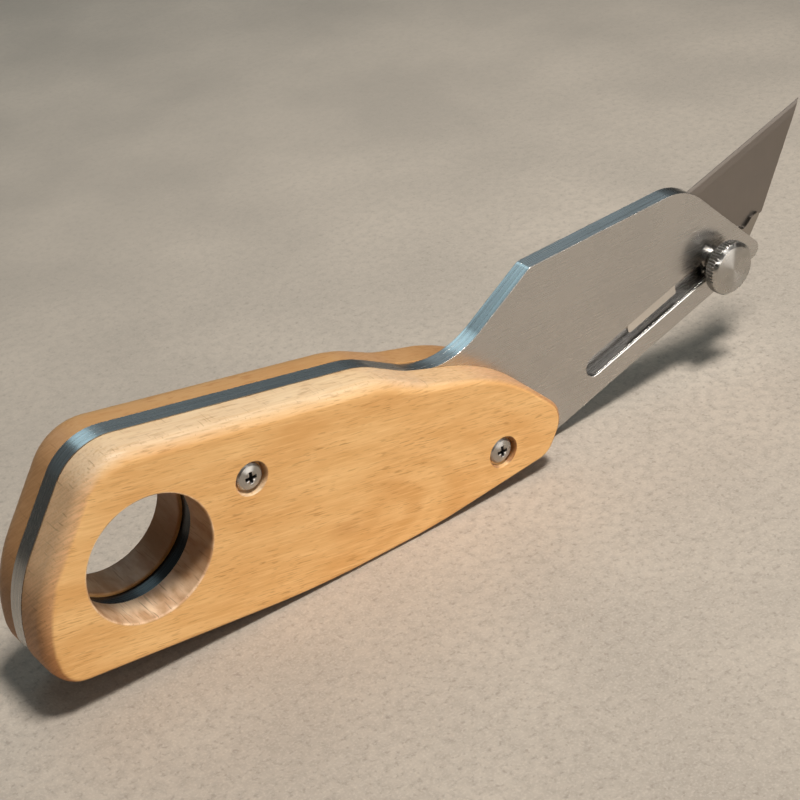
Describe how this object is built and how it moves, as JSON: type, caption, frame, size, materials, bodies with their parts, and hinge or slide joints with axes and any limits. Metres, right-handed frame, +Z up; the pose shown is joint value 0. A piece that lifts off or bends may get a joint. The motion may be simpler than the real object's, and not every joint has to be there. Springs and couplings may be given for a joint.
{
  "type": "leather knife",
  "caption": "Leather knife with beech scales, a ring hole and a laminated steel body, whose trapezoid blade slides out of a channel and is clamped by a knurled thumb screw.",
  "frame": {"origin": "centre of the overall box at its lowest face, which is the flat of the handle's lower edge that the knife stands on", "axes": "+X from the butt towards the blade's tip, +Z up, +Y away from the thumb screw's side"},
  "size_m": [0.196, 0.0194, 0.0523],
  "materials": {
    "beech": "oiled, fine flecked grain",
    "satin_steel": "satin",
    "blade_steel": "ground, lightly oiled",
    "carrier_steel": "satin",
    "bright_steel": "bright plated, turned",
    "zinc_plate": "zinc plated"
  },
  "bodies": {
    "knife_body": {"near_scale": "beech", "far_scale": "beech", "near_plate": "satin_steel", "core_plate": "satin_steel", "far_plate": "satin_steel", "near_front_screw": "bright_steel", "near_rear_screw": "bright_steel", "far_front_screw": "bright_steel", "far_rear_screw": "bright_steel", "front_barrel": "zinc_plate", "rear_barrel": "zinc_plate"},
    "blade_carriage": {"blade": "blade_steel", "blade_carrier": "carrier_steel", "notch_pin": "carrier_steel", "clamp_nut": "zinc_plate"},
    "thumb_screw": {"thumb_screw": "bright_steel"}
  },
  "joints": [
    {"name": "blade_slide", "type": "slide", "parent": "knife_body", "child": "blade_carriage", "axis": [0.9542, 0, 0.299], "range_m": [-0.037, 0]},
    {"name": "thumb_screw_turn", "type": "hinge", "parent": "blade_carriage", "child": "thumb_screw", "pos_m": [0.07119, -0.005, 0.02355], "axis": [0, -1, 0], "range_deg": [0, 540]}
  ]
}
